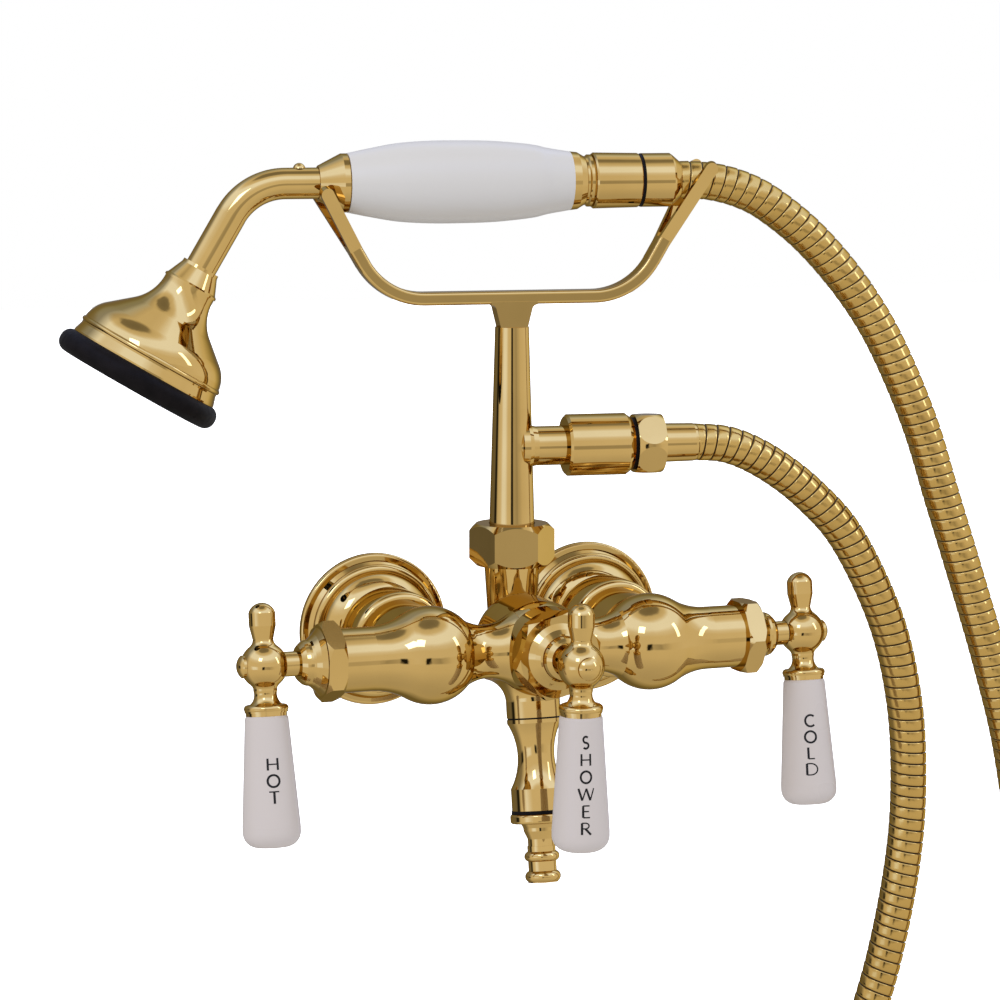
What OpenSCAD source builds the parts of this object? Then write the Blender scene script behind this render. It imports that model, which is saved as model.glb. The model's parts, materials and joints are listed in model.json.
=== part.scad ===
// Wall mounted bath faucet with a telephone hand shower in a forked cradle.
// Millimetres. Origin on the wall plane midway between the two inlets.
// +X to the cold side, +Y into the wall, +Z up. The front faces -Y.

/* [Wall inlets] */
// distance between the two inlet centres
inlet_spacing = 86; // [76:0.5:160]
// outer radius of a wall flange
flange_r = 28.8; // [24:0.1:36]
// how far a wall flange stands off the wall
flange_h = 15.5; // [10:0.5:24]
// thread radius of an inlet coupling
inlet_thread_r = 10.3; // [8:0.1:14]
// thread depth of an inlet coupling
inlet_thread_l = 12; // [8:0.5:20]
// outer radius of the round union collar
collar_r = 18.6; // [16:0.1:22]

/* [Valve body] */
// distance from the wall to the valve axis
valve_out = 64; // [50:0.5:90]
// largest radius of each valve bulge
bulge_r = 17.9; // [14:0.1:22]
// distance from the middle to each bulge centre
bulge_x = 43; // [38:0.1:50]
// radius of the neck between bulge and middle
neck_r = 9.8; // [7:0.1:13]
// radius of the middle barrel
barrel_r = 17.5; // [14:0.1:22]
// radius of the valve end cylinders
end_r = 11.6; // [10:0.1:14]

/* [Valve trim] */
// distance from the middle to a side lever hub
hub_x = 105.2; // [95:0.1:120]
// distance from the wall to the shower lever hub
hub_out = 104.2; // [95:0.1:120]
// across-corner radius of a side bonnet hexagon
bonnet_hex_r = 15; // [13:0.1:18]
// across-corner radius of the diverter bonnet hexagon
diverter_hex_r = 16.8; // [14:0.1:19]
// stem radius
stem_r = 4.5; // [3:0.1:6]
// running clearance on a stem
stem_gap = 0.05; // [0.02:0.01:0.1]
// angle the hot and cold levers hang forward of plumb
lever_lean = 7.5; // [0:0.1:20]

/* [Levers] */
// radius of the lever hub ball
ball_r = 8.5; // [6:0.1:10]
// height of the finial above the hub centre
finial_h = 22.4; // [16:0.1:28]
// depth of the lever skirt below the hub centre
skirt_h = 17.8; // [16:0.1:24]
// length of the porcelain lever
lever_l = 46.8; // [35:0.1:70]
// length of the shower lever
shower_lever_l = 49; // [35:0.1:70]
// porcelain lever radius at the top
lever_top_r = 7.8; // [6:0.1:9]
// porcelain lever radius near the bottom
lever_end_r = 10.4; // [8:0.1:13]

/* [Spout] */
// forward lean of the spout from plumb
spout_lean = 9.5; // [0:0.5:20]
// distance from the wall to the spout axis at valve height
spout_out = 53.2; // [45:0.1:70]
// outer radius of the spout leg
spout_r = 10; // [8:0.1:13]
// total length of the spout along its axis
spout_len = 87.6; // [70:0.1:110]
// outlet bore radius
outlet_r = 3.6; // [2.5:0.1:5]

/* [Riser and cradle] */
// distance from the wall to the riser axis
riser_out = 35; // [28:0.5:50]
// turn of the riser and cradle about the riser axis
riser_turn = -8; // [-30:1:30]
// height of the cradle bar
bar_z = 126.3; // [100:0.1:150]
// riser radius at the nut
riser_low_r = 8.4; // [7:0.1:11]
// riser radius under the cradle
riser_top_r = 6.3; // [5:0.1:9]
// height of the side outlet
outlet_z = 71; // [60:0.5:90]
// cradle bar thickness, up and down
bar_t = 4.8; // [3:0.1:7]
// cradle bar depth, front to back
bar_w = 8.5; // [6:0.1:12]
// angle of the cradle arms above level
arm_angle = 60; // [45:1:75]

/* [Hand shower] */
// height of the hand shower axis in the cradle
grip_z = 168.8; // [150:0.1:190]
// largest radius of the porcelain grip
grip_r = 15.1; // [12:0.1:18]
// radius of the bent neck tube
tube_r = 5.7; // [4.5:0.1:8]
// angle of the spray head below level
head_angle = 59.5; // [45:0.5:75]
// outer radius of the rubber ring
rubber_r = 31.8; // [26:0.1:38]
// radius of one spray hole
spray_r = 0.7; // [0.5:0.05:1.2]

/* [Hose] */
// hose outer radius
hose_r = 7; // [5:0.1:9]
// sides of the hose section
hose_sides = 12; // [8:1:12]

/* [Hidden] */
$fn = 96;
// lap between two solids drawn end to end
lap = 0.3;
// how much fuller the second of them is
proud = 0.05;
// turn of a revolved hub about its own axis
seam_turn = 37;
inlet_x = inlet_spacing / 2;
// inlet parts, measured outward from the wall
coupling_r = 13;
coupling_bore = 7.5;
coupling_end = 22;
coupling_shoulder = 19;
shoulder_r = 15.8;
washer_end = 24;
collar_back = 17;
collar_front = 35;
leg_thread_r = 16;
leg_r = 15.4;
// valve parts, measured along the valve axis from the middle
body_end = 78;
gasket_t = 1;
gasket_w = 1;
hex_l = 7;
chamber_r = 9.4;
// radius of the hollow between a bulge and the valve end
swell_r = 26;
chamber_in = 52;
feed_r = 5;
spigot_in = 66.3;
stem_in = 60.1;
disc_r = 8.8;
disc_t = 2.9;
seal_t = 2;
groove_in = 72;
groove_out = 74;
o_ring_r = 0.95;
drive_s = 5.6;
drive_in = 98;
drive_out = 106;
// diverter parts, measured outward from the wall
div_shift = hub_out - hub_x;
div_chamber_r = 9;
div_spigot_r = 11.4;
plug_in = 44;
plug_out = 60;
port_r = 4.5;
// lever hub
seat_r = 6.2;
face_in = 7.1;
cap_seat = 7.4;
cap_r = 4.1;
cap_h = 2.8;
shank_r = 2;
rod_r = 2.5;
rod_top = 12;
rod_bot = 58;
// spout
joint_t = 27;
nozzle_t = 61;
// riser
nut_low = 27;
nut_top = 42.5;
nut_r = 16;
nut_turn = -14;
neck_top = 35;
neck_thread_r = 11;
riser_foot = 36;
riser_foot_top = 38.3;
riser_foot_r = 10.6;
riser_head = 115.4;
riser_bore = 5;
side_r = 7.3;
side_len = 20;
side_bore = 4.5;
// side outlet fittings, measured along the outlet
coupling_a = 20;
coupling_b = 45;
coupling_big_r = 11.5;
coupling_end_r = 9.9;
hose_nut_a = 46.2;
hose_nut_b = 56.8;
hose_nut_r = 12.4;
hose_nut_ball = 12.1;
hose_nut_turn = 28;
ferrule_b = 70;
// cradle
right_corner = 45.5;
left_corner = 48.3;
bend_r = 26;
bend_t = bend_r * tan(arm_angle / 2);
arm_l = 8.9;
tine_t = 2.8;
tine_w = 4.7;
stud_r = 3;
stud_l = 9;
// hand shower, measured along its axis
grip_a = -61.4;
grip_b = 21.4;
washer_t = 0.5;
washer_r = 8.4;
cone_a = -72.2;
cone_small = 6.4;
cone_big = 10.7;
ring_b = 30;
coupler_b = 47.4;
tail_a = 48.6;
tail_b = 60.2;
tail_end = 62.8;
core_r = 5;
core_bore = 3.8;
neck_bend = 23;
head_u = -115;
head_z = 139;
head_nut_l = 8.3;
bell_end = 35.6;
band_end = 42;
plate_r = 26;
plate_a = 40.4;
plate_b = 42.4;
rubber_b = 50.5;
// hose route, along the cradle and up, in the riser frame
route = [[63, 168.8], [75, 168.1], [87, 165], [98.5, 159.1], [114.2, 146.6], [130.1, 128.8],
         [143.9, 107.8], [157.9, 77.2], [168.1, 46.3], [178.3, 15.2], [188.1, -16.1], [197, -50],
         [204, -95], [209, -150], [211, -210], [211.5, -270], [211, -330], [211.2, -385],
         [211, -430.5], [203.6, -458.3], [183.3, -478.6], [155.5, -486], [127.8, -478.6],
         [107.4, -458.3], [100, -430.5], [99.8, -375], [105, -310], [113, -262], [124, -214], [136, -169],
         [147, -131], [154.1, -92.7], [155.9, -61.5], [153.7, -30.3], [146, 0.9], [130.7, 32.1],
         [115.3, 49.7], [99.4, 61.9], [84.2, 69.2], [70, 71]];

brass = [0.72, 0.55, 0.25];
porcelain = [0.86, 0.84, 0.82];
black = [0.06, 0.06, 0.06];
steel = [0.7, 0.7, 0.72];
ceramic = [0.92, 0.91, 0.88];

// ---- shared shapes ----
// a revolved ring with square edges
module ring(r0, r1, z0, z1) {
  rotate_extrude() translate([r0, z0]) square([r1 - r0, z1 - z0]);
}

// section of a ring whose outer edges are rounded
module soft_section(r0, r1, z0, z1, f) {
  translate([r0, z0]) square([r1 - f - r0, z1 - z0]);
  translate([r0, z0 + f]) square([r1 - r0, z1 - z0 - 2 * f]);
  translate([r1 - f, z0 + f]) circle(r = f);
  translate([r1 - f, z1 - f]) circle(r = f);
}

module soft_ring(r0, r1, z0, z1, f) {
  rotate_extrude() soft_section(r0, r1, z0, z1, f);
}

// section of the hollow that joins a ball to a round neck, on the side given by dir
module neck_section(ball, at, neck, f, dir) {
  rc = neck + f;
  zc = at + dir * sqrt(pow(ball + f, 2) - pow(rc, 2));
  k = 0.97 * ball / (ball + f);
  edge = [[0, at], [rc * k, at + (zc - at) * k], [rc, zc], [0, zc]];
  difference() {
    polygon(dir > 0 ? edge : [edge[3], edge[2], edge[1], edge[0]]);
    translate([rc, zc]) circle(r = f);
  }
}

// a solid of revolution section kept to one side of its axis
module half_circle(r, z) {
  intersection() {
    translate([0, z]) circle(r = r);
    translate([0, z - r]) square([r, 2 * r]);
  }
}

// a hexagon with its corners turned off at both ends
module hexagon(r, l, bevel) {
  intersection() {
    cylinder(r = r, h = l, $fn = 6);
    rotate_extrude() polygon([[0, 0], [r - bevel, 0], [r, bevel], [r, l - bevel], [r - bevel, l],
                              [0, l]]);
  }
}

module o_ring(r, z) {
  rotate_extrude() translate([r + o_ring_r, z]) circle(r = o_ring_r);
}

// local z runs out along +X, on the valve axis
module along_x() {
  translate([0, -valve_out, 0]) rotate([0, 90, 0]) children();
}

module both_sides() {
  children();
  mirror([1, 0, 0]) children();
}

// local z runs from the wall toward the front
module from_wall(x, z) {
  translate([x, 0, z]) rotate([90, 0, 0]) children();
}

module inlets() {
  for (s = [-1, 1]) from_wall(s * inlet_x, 0) children();
}

// local z runs down the spout
module down_spout() {
  translate([0, -spout_out, 0]) rotate([180 - spout_lean, 0, 0]) children();
}

// x along the cradle, y into the wall, on the riser axis
module on_riser() {
  translate([0, -riser_out, 0]) rotate([0, 0, riser_turn]) children();
}

// local z runs along the cradle at a height
module along_riser(z) {
  on_riser() translate([0, 0, z]) rotate([0, 90, 0]) children();
}

// local z runs out through the spray face
module on_head() {
  on_riser() translate([head_u, 0, head_z]) rotate([0, -head_angle - 90, 0]) children();
}

// ---- wall inlets ----
module wall_flanges() {
  rim = 1.2;
  bead = 1.9;
  bead_at = 5.4;
  dome = 8.6;
  color(brass) inlets() rotate_extrude() difference() {
    union() {
      soft_section(coupling_r, flange_r, -rim, 2.6, rim);
      polygon([[coupling_r, 0], [flange_r - 2, 0], [flange_r - 2.6, 2.6],
               [flange_r - 4.4, bead_at], [coupling_r, bead_at]]);
      translate([flange_r - 5.6, bead_at]) circle(r = bead);
      translate([flange_r - 7.6 - dome, bead_at]) difference() {
        circle(r = dome + 1.2);
        translate([-2 * dome, -2 * dome]) square([4 * dome, 2 * dome]);
      }
      translate([coupling_r, 0]) square([2.2, flange_h]);
    }
    translate([coupling_r - 4 * dome, -dome]) square([4 * dome, 4 * dome]);
    translate([0, -dome]) square([2 * flange_r, dome]);
  }
}

module wall_couplings() {
  color(brass) inlets() difference() {
    union() {
      ring(0, coupling_r, 0, coupling_end);
      ring(0, shoulder_r, coupling_shoulder, coupling_end);
    }
    translate([0, 0, -1]) cylinder(r = inlet_thread_r, h = inlet_thread_l + 1);
    cylinder(r = coupling_bore, h = coupling_end + 1);
  }
}

module union_washers() {
  color(black) inlets() ring(coupling_bore, shoulder_r - 0.4, coupling_end, washer_end);
}

module union_collars() {
  color(brass) inlets() difference() {
    soft_ring(0, collar_r, collar_back, collar_front, 2.4);
    cylinder(r = coupling_r, h = collar_front);
    translate([0, 0, coupling_shoulder]) cylinder(r = leg_thread_r, h = collar_front);
  }
}

// ---- main casting ----
module valve_form() {
  sink = 15.8;
  rc = neck_r + sink;
  zc = bulge_x / 2;
  rotate_extrude() {
    half_circle(bulge_r, bulge_x);
    neck_section(bulge_r, bulge_x, end_r, swell_r, 1);
    translate([0, bulge_x]) square([end_r, body_end - bulge_x]);
    difference() {
      translate([0, 0]) square([rc * 0.55, bulge_x]);
      translate([rc, zc]) circle(r = sink);
    }
  }
}

module barrel_form() {
  front = body_end + div_shift;
  rear = 46;
  rotate_extrude() {
    half_circle(barrel_r, rear);
    polygon([[0, rear], [barrel_r, rear], [barrel_r, 62], [barrel_r - 0.8, 68],
             [barrel_r - 1.6, front], [0, front]]);
  }
}

module riser_neck_form() {
  translate([0, -riser_out, 0]) {
    translate([0, 0, -2]) cylinder(r1 = 8.4, r2 = 10.3, h = nut_low + 2);
    translate([0, 0, nut_low]) cylinder(r = neck_thread_r, h = neck_top - nut_low);
  }
}

module leg_form() {
  f = 9;
  t = 21;
  root = 17.2;
  cylinder(r = spout_r, h = joint_t);
  rotate_extrude() difference() {
    translate([0, 8]) square([root, t - 8]);
    translate([spout_r + f, t]) circle(r = f);
  }
}

module body() {
  front = body_end + div_shift;
  color(brass) difference() {
    union() {
      both_sides() along_x() valve_form();
      translate([0, -valve_out, 0]) sphere(r = bulge_r - 0.3);
      from_wall(0, 0) barrel_form();
      riser_neck_form();
      down_spout() leg_form();
      inlets() {
        translate([0, 0, washer_end]) cylinder(r = leg_thread_r, h = collar_front - washer_end);
        translate([0, 0, collar_front - 1]) cylinder(r = leg_r, h = valve_out - 10 - collar_front);
      }
    }
    both_sides() along_x() {
      translate([0, 0, chamber_in]) cylinder(r = chamber_r, h = body_end);
      translate([0, 0, body_end - gasket_t]) cylinder(r = chamber_r + gasket_w, h = body_end);
      cylinder(r = feed_r, h = body_end);
    }
    inlets() translate([0, 0, washer_end - 1]) cylinder(r = coupling_bore, h = valve_out - washer_end + 1);
    from_wall(0, 0) {
      translate([0, 0, plug_in - 1]) cylinder(r = div_chamber_r, h = front);
      translate([0, 0, spigot_in + div_shift - 2]) cylinder(r = div_spigot_r, h = front);
      translate([0, 0, front - gasket_t]) cylinder(r = div_spigot_r + gasket_w, h = front);
      translate([0, 0, riser_out]) cylinder(r = feed_r, h = plug_in - riser_out);
      translate([0, 0, front]) cylinder(r = barrel_r + 0.6, h = barrel_r);
    }
    translate([0, -riser_out, 0]) cylinder(r = riser_bore, h = neck_top + 1);
    translate([0, -riser_out, 0]) sphere(r = riser_bore);
    down_spout() cylinder(r = outlet_r + 1.4, h = joint_t + 1);
  }
}

// ---- bonnets, seals and discs ----
// bonnet with its hexagon face at z = 0
module bonnet_form(hex_r, spigot, turn) {
  spigot_l = body_end - spigot_in;
  dome = 7.8;
  shoulder = 12.2;
  waist = 8.2;
  lip = 6.2;
  groove_r = stem_r + stem_gap + 2 * o_ring_r;
  difference() {
    union() {
      rotate([0, 0, turn]) hexagon(hex_r, hex_l, 1.6);
      translate([0, 0, -spigot_l]) cylinder(r = spigot, h = spigot_l);
      translate([0, 0, hex_l]) rotate_extrude()
        polygon([[0, -1], [shoulder, -1], [shoulder, 0], [waist + 2, 1.6], [waist + 0.6, 3.2],
                 [waist + 0.1, 4], [waist, 5], [waist - 0.5, 6.2], [lip + 0.6, 7.2], [lip, dome], [0, dome]]);
    }
    translate([0, 0, -spigot_l - dome]) cylinder(r = stem_r + stem_gap, h = 2 * spigot_l + hex_l + 2 * dome);
    translate([0, 0, groove_in - body_end]) cylinder(r = groove_r, h = groove_out - groove_in);
    translate([0, 0, -spigot_l - dome]) cylinder(r = disc_r - 1.4, h = dome + 3);
  }
}

module bonnets() {
  color(brass) {
    mirror([1, 0, 0]) along_x() translate([0, 0, body_end]) bonnet_form(bonnet_hex_r, chamber_r, 4);
    along_x() translate([0, 0, body_end]) bonnet_form(bonnet_hex_r, chamber_r, 30);
  }
}

module bonnet_gaskets() {
  color(black) both_sides() along_x() ring(chamber_r, chamber_r + gasket_w, body_end - gasket_t, body_end);
}

module stem_seals() {
  color(black) both_sides() along_x()
    o_ring(stem_r + stem_gap, (groove_in + groove_out) / 2);
}

module seat_discs() {
  color(ceramic) both_sides() along_x() difference() {
    ring(0, chamber_r, chamber_in + seal_t, chamber_in + seal_t + disc_t);
    for (a = [0, 180]) rotate([0, 0, a]) translate([chamber_r / 2, 0, chamber_in])
      cylinder(r = 2, h = 2 * disc_t + seal_t);
  }
}

module seat_seals() {
  color(black) both_sides() along_x()
    ring(chamber_r - 2.4, chamber_r, chamber_in, chamber_in + seal_t);
}

module spindle_form() {
  difference() {
    union() {
      translate([0, 0, stem_in]) cylinder(r = stem_r, h = drive_in - stem_in);
      translate([0, 0, stem_in]) cylinder(r = disc_r, h = spigot_in - stem_in - 0.4);
      translate([-drive_s / 2, -drive_s / 2, drive_in]) cube([drive_s, drive_s, drive_out - drive_in]);
    }
    translate([0, 0, drive_in - 2]) cylinder(r = shank_r, h = drive_out);
  }
}

module disc_form() {
  a = chamber_in + seal_t + disc_t + 0.1;
  difference() {
    ring(0, disc_r, a, stem_in);
    for (s = [0, 180]) rotate([0, 0, s + 90]) translate([chamber_r / 2, 0, chamber_in])
      cylinder(r = 2, h = 2 * disc_t + 2 * seal_t);
  }
}

// ---- lever parts, hub centre at the origin, stem side toward -X ----
module hub_form() {
  finial_r = 4.8;
  waist_r = 3.7;
  foot_r = 7.75;
  dome_r = 5;
  shoulder = finial_h - 3.6;
  difference() {
    union() {
      rotate([0, 0, seam_turn]) rotate_extrude() {
        half_circle(ball_r, 0);
        neck_section(ball_r, 0, waist_r, 3.2, 1);
        polygon([[0, 6], [waist_r, 9.4], [finial_r, 14.2], [finial_r, shoulder], [0, shoulder]]);
        intersection() {
          translate([0, finial_h - dome_r]) circle(r = dome_r);
          translate([0, 13]) square([finial_r, finial_h]);
        }
        neck_section(ball_r, 0, 4.1, 3.4, -1);
        difference() {
          translate([0, -skirt_h]) square([foot_r, skirt_h - 8]);
          translate([4.1 + 4.6, -10.2]) circle(r = 4.6);
          translate([4.1 + 0.2, -10.2]) square([foot_r, 4]);
          translate([foot_r - 0.4, -skirt_h]) square([1, 1.2]);
        }
        translate([foot_r - 1.15, -skirt_h + 2.6]) circle(r = 1.4);
      }
    }
    translate([-face_in - 1, -drive_s / 2, -drive_s / 2])
      cube([face_in + 1 + drive_out - hub_x, drive_s, drive_s]);
    rotate([0, 90, 0]) cylinder(r = shank_r, h = 2 * cap_seat);
    translate([cap_seat, 0, 0]) rotate([0, 90, 0]) cylinder(r = seat_r, h = ball_r);
    translate([-face_in, 0, 0]) rotate([0, -90, 0]) cylinder(r = seat_r, h = ball_r);
    translate([0, 0, -skirt_h - 1]) cylinder(r = rod_r, h = skirt_h + 1 - rod_top);
  }
}

module lever_form(l) {
  end = -skirt_h - l;
  f = 5.5;
  rotate_extrude() difference() {
    polygon([[0, -skirt_h], [lever_top_r - 0.5, -skirt_h], [lever_top_r, -skirt_h - 0.8],
             [lever_end_r, end + f + 2], [lever_end_r, end], [0, end]]);
    difference() {
      translate([lever_end_r - f, end - 1]) square([f + 1, f + 1]);
      translate([lever_end_r - f, end + f]) circle(r = f);
    }
    translate([-1, -rod_bot]) square([rod_r + 1, rod_bot]);
  }
}

module rod_form() {
  translate([0, 0, -rod_bot]) cylinder(r = rod_r, h = rod_bot - rod_top);
}

module cap_form() {
  rotate([0, 90, 0]) {
    rotate_extrude() translate([0, cap_seat]) intersection() {
      translate([0, cap_h - 5.6]) circle(r = 5.6);
      square([cap_r, cap_h]);
    }
    translate([0, 0, drive_in - hub_x - 1]) cylinder(r = shank_r, h = cap_seat + hub_x - drive_in + 1);
  }
}

// a side lever: mirrored for the hot side, hanging forward by the lean
module side_lever(hot) {
  mirror([hot ? 1 : 0, 0, 0]) translate([hub_x, -valve_out, 0]) rotate([-lever_lean, 0, 0]) children();
}

module side_spindle(hot) {
  mirror([hot ? 1 : 0, 0, 0]) translate([0, -valve_out, 0]) rotate([-lever_lean, 0, 0])
    rotate([0, 90, 0]) children();
}

module shower_place() {
  translate([0, -hub_out, 0]) rotate([0, 0, -90]) children();
}

module hot_spindle() { color(brass) side_spindle(true) spindle_form(); }
module cold_spindle() { color(brass) side_spindle(false) spindle_form(); }
module hot_disc() { color(ceramic) side_spindle(true) disc_form(); }
module cold_disc() { color(ceramic) side_spindle(false) disc_form(); }
module hot_hub() { color(brass) side_lever(true) hub_form(); }
module cold_hub() { color(brass) side_lever(false) hub_form(); }
module hot_lever() { color(porcelain) side_lever(true) lever_form(lever_l); }
module cold_lever() { color(porcelain) side_lever(false) lever_form(lever_l); }
module hot_rod() { color(steel) side_lever(true) rod_form(); }
module cold_rod() { color(steel) side_lever(false) rod_form(); }
module hot_cap() { color(brass) side_lever(true) cap_form(); }
module cold_cap() { color(brass) side_lever(false) cap_form(); }
module shower_hub() { color(brass) shower_place() hub_form(); }
module shower_lever() { color(porcelain) shower_place() lever_form(shower_lever_l); }
module shower_rod() { color(steel) shower_place() rod_form(); }
module shower_cap() { color(brass) shower_place() cap_form(); }

// ---- diverter ----
module diverter_bonnet() {
  color(brass) from_wall(0, 0) translate([0, 0, body_end + div_shift])
    bonnet_form(diverter_hex_r, div_spigot_r, 14);
}

module diverter_gasket() {
  color(black) from_wall(0, 0) translate([0, 0, div_shift])
    ring(div_spigot_r, div_spigot_r + gasket_w, body_end - gasket_t, body_end);
}

module diverter_seal() {
  color(black) from_wall(0, 0) translate([0, 0, div_shift])
    o_ring(stem_r + stem_gap, (groove_in + groove_out) / 2);
}

module diverter_spindle() {
  color(brass) from_wall(0, 0) difference() {
    union() {
      translate([0, 0, plug_out]) cylinder(r = stem_r, h = drive_in + div_shift - plug_out);
      translate([0, 0, plug_out]) cylinder(r = disc_r, h = 3);
      translate([-drive_s / 2, -drive_s / 2, drive_in + div_shift])
        cube([drive_s, drive_s, drive_out - drive_in]);
    }
    translate([0, 0, drive_in + div_shift - 2]) cylinder(r = shank_r, h = drive_out);
  }
}

module diverter_plug() {
  color(ceramic) from_wall(0, 0) difference() {
    translate([0, 0, plug_in]) cylinder(r = div_chamber_r - stem_gap, h = plug_out - plug_in);
    translate([0, 0, plug_in - 1]) cylinder(r = port_r, h = (plug_out - plug_in) * 0.75);
    translate([0, 0, spout_out]) rotate([90, 0, 0]) cylinder(r = port_r - 1, h = 2 * div_chamber_r);
  }
}

// ---- spout ----
module spout_gasket() {
  color(black) down_spout() ring(outlet_r + 2, spout_r - 0.3, joint_t, joint_t + 0.6);
}

module spout() {
  waist = 24.1;
  waist_at = 41;
  slim = 6.8;
  color(brass) down_spout() rotate_extrude() difference() {
    translate([0, joint_t + 0.6]) square([spout_r, nozzle_t - joint_t - 0.6]);
    translate([slim + waist, waist_at]) circle(r = waist);
    translate([0, joint_t]) square([outlet_r + 1.4, nozzle_t]);
  }
}

module nozzle_gasket() {
  color(black) down_spout() ring(outlet_r + 1.4, spout_r + 0.2, nozzle_t, nozzle_t + 1.2);
}

module nozzle() {
  top = nozzle_t + 1.2;
  color(brass) down_spout() rotate_extrude() difference() {
    union() {
      soft_section(0, spout_r + 0.8, top, top + 3.6, 1);
      polygon([[0, top + 3], [7.4, top + 3], [6.3, top + 5.2], [6.2, top + 6.4], [4.9, top + 9.4],
               [4.9, top + 13], [0, top + 13]]);
      translate([0, top + 12]) square([5.2, spout_len - top - 13]);
      translate([4.6, 78]) circle(r = 1.9);
      translate([4.4, 85.4]) circle(r = 2.2);
      translate([0, 85.4]) square([5.6, spout_len - 85.4]);
    }
    translate([-2 * spout_r, top - 1]) square([2 * spout_r + outlet_r, spout_len]);
  }
}

// ---- riser and cradle ----
module riser_nut() {
  color(brass) translate([0, -riser_out, nut_low]) difference() {
    rotate([0, 0, nut_turn]) hexagon(nut_r, nut_top - nut_low, 2.6);
    translate([0, 0, -1]) cylinder(r = neck_thread_r, h = riser_foot_top - nut_low + 1);
    cylinder(r = riser_low_r + 0.2, h = nut_top);
  }
}

module riser_washer() {
  color(black) translate([0, -riser_out, 0]) ring(riser_bore, riser_foot_r, neck_top, riser_foot);
}

module riser() {
  color(brass) on_riser() difference() {
    union() {
      ring(0, riser_foot_r, riser_foot, riser_foot_top);
      translate([0, 0, riser_foot]) cylinder(r = riser_low_r, h = nut_top - riser_foot);
      translate([0, 0, nut_top]) cylinder(r1 = riser_low_r, r2 = riser_top_r, h = riser_head - nut_top);
      translate([0, 0, outlet_z]) rotate([0, 90, 0]) {
        cylinder(r = side_r, h = side_len);
        rotate_extrude() polygon([[0, 3], [side_r + 1.3, 3], [side_r + 1.3, 5.4], [side_r + 0.5, 6.9],
                                  [side_r, 8.9], [0, 8.9]]);
      }
    }
    translate([0, 0, riser_foot - 1]) cylinder(r = riser_bore, h = outlet_z - riser_foot + 5);
    translate([0, 0, outlet_z]) rotate([0, 90, 0]) cylinder(r = side_bore, h = side_len + 1);
    translate([0, 0, riser_head - stud_l]) cylinder(r = stud_r, h = stud_l + 1);
  }
}

module bar_section(grow) {
  c = 1.1;
  t = bar_t + 2 * grow;
  w = bar_w + 2 * grow;
  for (x = [-1, 1], y = [-1, 1])
    translate([x * (t / 2 - c), y * (w / 2 - c)]) circle(r = c);
  square([t - 2 * c, w], center = true);
  square([t, w - 2 * c], center = true);
}

// one arm of the cradle, from the middle of the bar to its two tines
module cradle_arm(corner, tip, base, spread) {
  start = corner - bend_t;
  translate([0, 0, bar_z]) {
    rotate([0, 90, 0]) linear_extrude(start) bar_section(0);
    translate([start, 0, bend_r]) rotate([90, 0, 0]) rotate([0, 0, -90])
      rotate_extrude(angle = arm_angle) translate([bend_r, 0]) bar_section(0);
  }
  reach = bend_t + arm_l;
  translate([corner + reach * cos(arm_angle), 0, bar_z + reach * sin(arm_angle)])
    rotate([0, 90 - arm_angle, 0]) {
      translate([0, 0, -arm_l - lap]) linear_extrude(arm_l + lap) bar_section(proud);
      for (s = [-1, 1]) {
        len = (tip - bar_z - reach * sin(arm_angle)) / sin(arm_angle) / cos(spread);
        translate([0, s * base, 0]) rotate([-s * spread, 0, 0])
          translate([-tine_w / 2, s > 0 ? 0 : -tine_t, -2]) {
            cube([tine_w, tine_t, len]);
            translate([tine_w / 2, 0, len]) rotate([-90, 0, 0]) cylinder(r = tine_w / 2, h = tine_t);
          }
      }
    }
}

module cradle() {
  top = 13.4;
  low = 10.2;
  flare = 2;
  deep = bar_w + 2 * proud;
  under = bar_z - bar_t / 2 - riser_head;
  half = [[0, 0], [low / 2, 0], [top / 2, under - flare], [top / 2 + flare, under - flare],
          [top / 2 + flare, under + 1], [0, under + 1]];
  color(brass) on_riser() {
    cradle_arm(right_corner, 175.4, 1.3, 15.2);
    mirror([1, 0, 0]) cradle_arm(left_corner, 167.6, 2.4, 19.5);
    translate([0, deep / 2, riser_head]) rotate([90, 0, 0]) linear_extrude(deep) difference() {
      for (s = [0, 1]) mirror([s, 0]) polygon(half);
      for (s = [-1, 1]) translate([s * (top / 2 + flare), under - flare - 0.15]) circle(r = flare);
    }
    translate([0, 0, riser_head - stud_l]) cylinder(r = stud_r, h = stud_l + 1);
  }
}

// ---- side outlet fittings ----
module outlet_coupling() {
  color(brass) along_riser(outlet_z) difference() {
    union() {
      rotate_extrude() polygon([[0, coupling_a], [coupling_big_r - 0.9, coupling_a],
                                [coupling_big_r, coupling_a + 0.9], [coupling_big_r, coupling_b - 2.2],
                                [coupling_end_r, coupling_b], [0, coupling_b]]);
      cylinder(r = side_bore, h = coupling_b);
    }
    cylinder(r = side_bore - 1.2, h = coupling_b + 1);
    translate([0, 0, -1]) cylinder(r = side_bore + 1, h = 11);
    translate([0, 0, coupling_b - 6]) cylinder(r = 7, h = 7);
  }
}

module outlet_seal() {
  color(black) along_riser(outlet_z) ring(4.6, coupling_end_r - 0.2, coupling_b, hose_nut_a);
}

module hose_nut() {
  color(brass) along_riser(outlet_z) difference() {
    intersection() {
      translate([0, 0, hose_nut_a]) rotate([0, 0, hose_nut_turn])
        cylinder(r = hose_nut_r, h = hose_nut_b - hose_nut_a, $fn = 6);
      translate([0, 0, (hose_nut_a + hose_nut_b) / 2]) sphere(r = hose_nut_ball);
    }
    cylinder(r = 4.6, h = ferrule_b);
  }
}

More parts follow.
